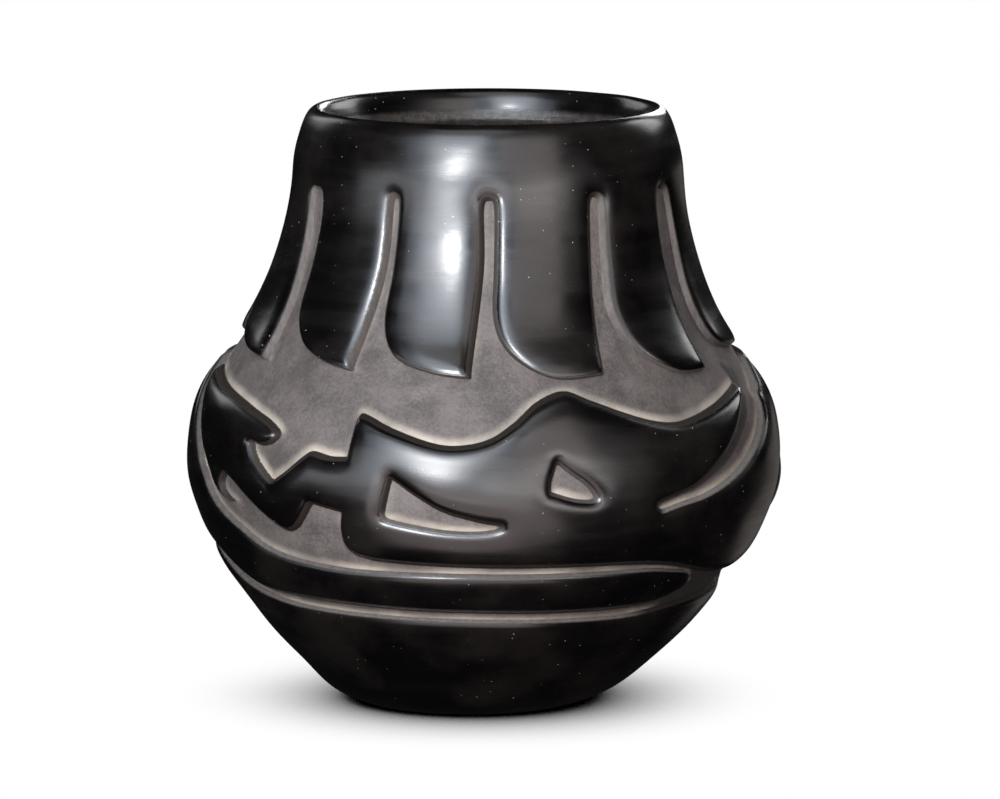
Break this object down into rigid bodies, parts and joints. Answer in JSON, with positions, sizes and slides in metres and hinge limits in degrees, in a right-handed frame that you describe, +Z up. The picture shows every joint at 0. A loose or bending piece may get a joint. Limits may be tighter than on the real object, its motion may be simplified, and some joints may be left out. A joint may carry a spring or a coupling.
{
  "type": "blackware olla",
  "caption": "Round-bellied hand-coiled black pottery jar with a wide neck, polished and carved with a feather frieze above a horned water serpent.",
  "frame": {"origin": "centre of the flat base, where the jar rests", "axes": "+Z up through the mouth, -Y towards the front, where the serpent's body faces, +X to the right of the front"},
  "size_m": [0.19, 0.19, 0.1895],
  "materials": {
    "blackware": "stone-polished slip, smoked black, with matte carved ground"
  },
  "bodies": {
    "root": {"base_slab": "blackware", "bowl_coil_lower": "blackware", "bowl_coil_upper": "blackware", "belly_coil_lower": "blackware", "belly_coil_upper": "blackware", "shoulder_coil_lower": "blackware", "shoulder_coil_upper": "blackware", "neck_coil_lower": "blackware", "neck_coil_upper": "blackware", "rim_coil": "blackware"}
  },
  "joints": []
}
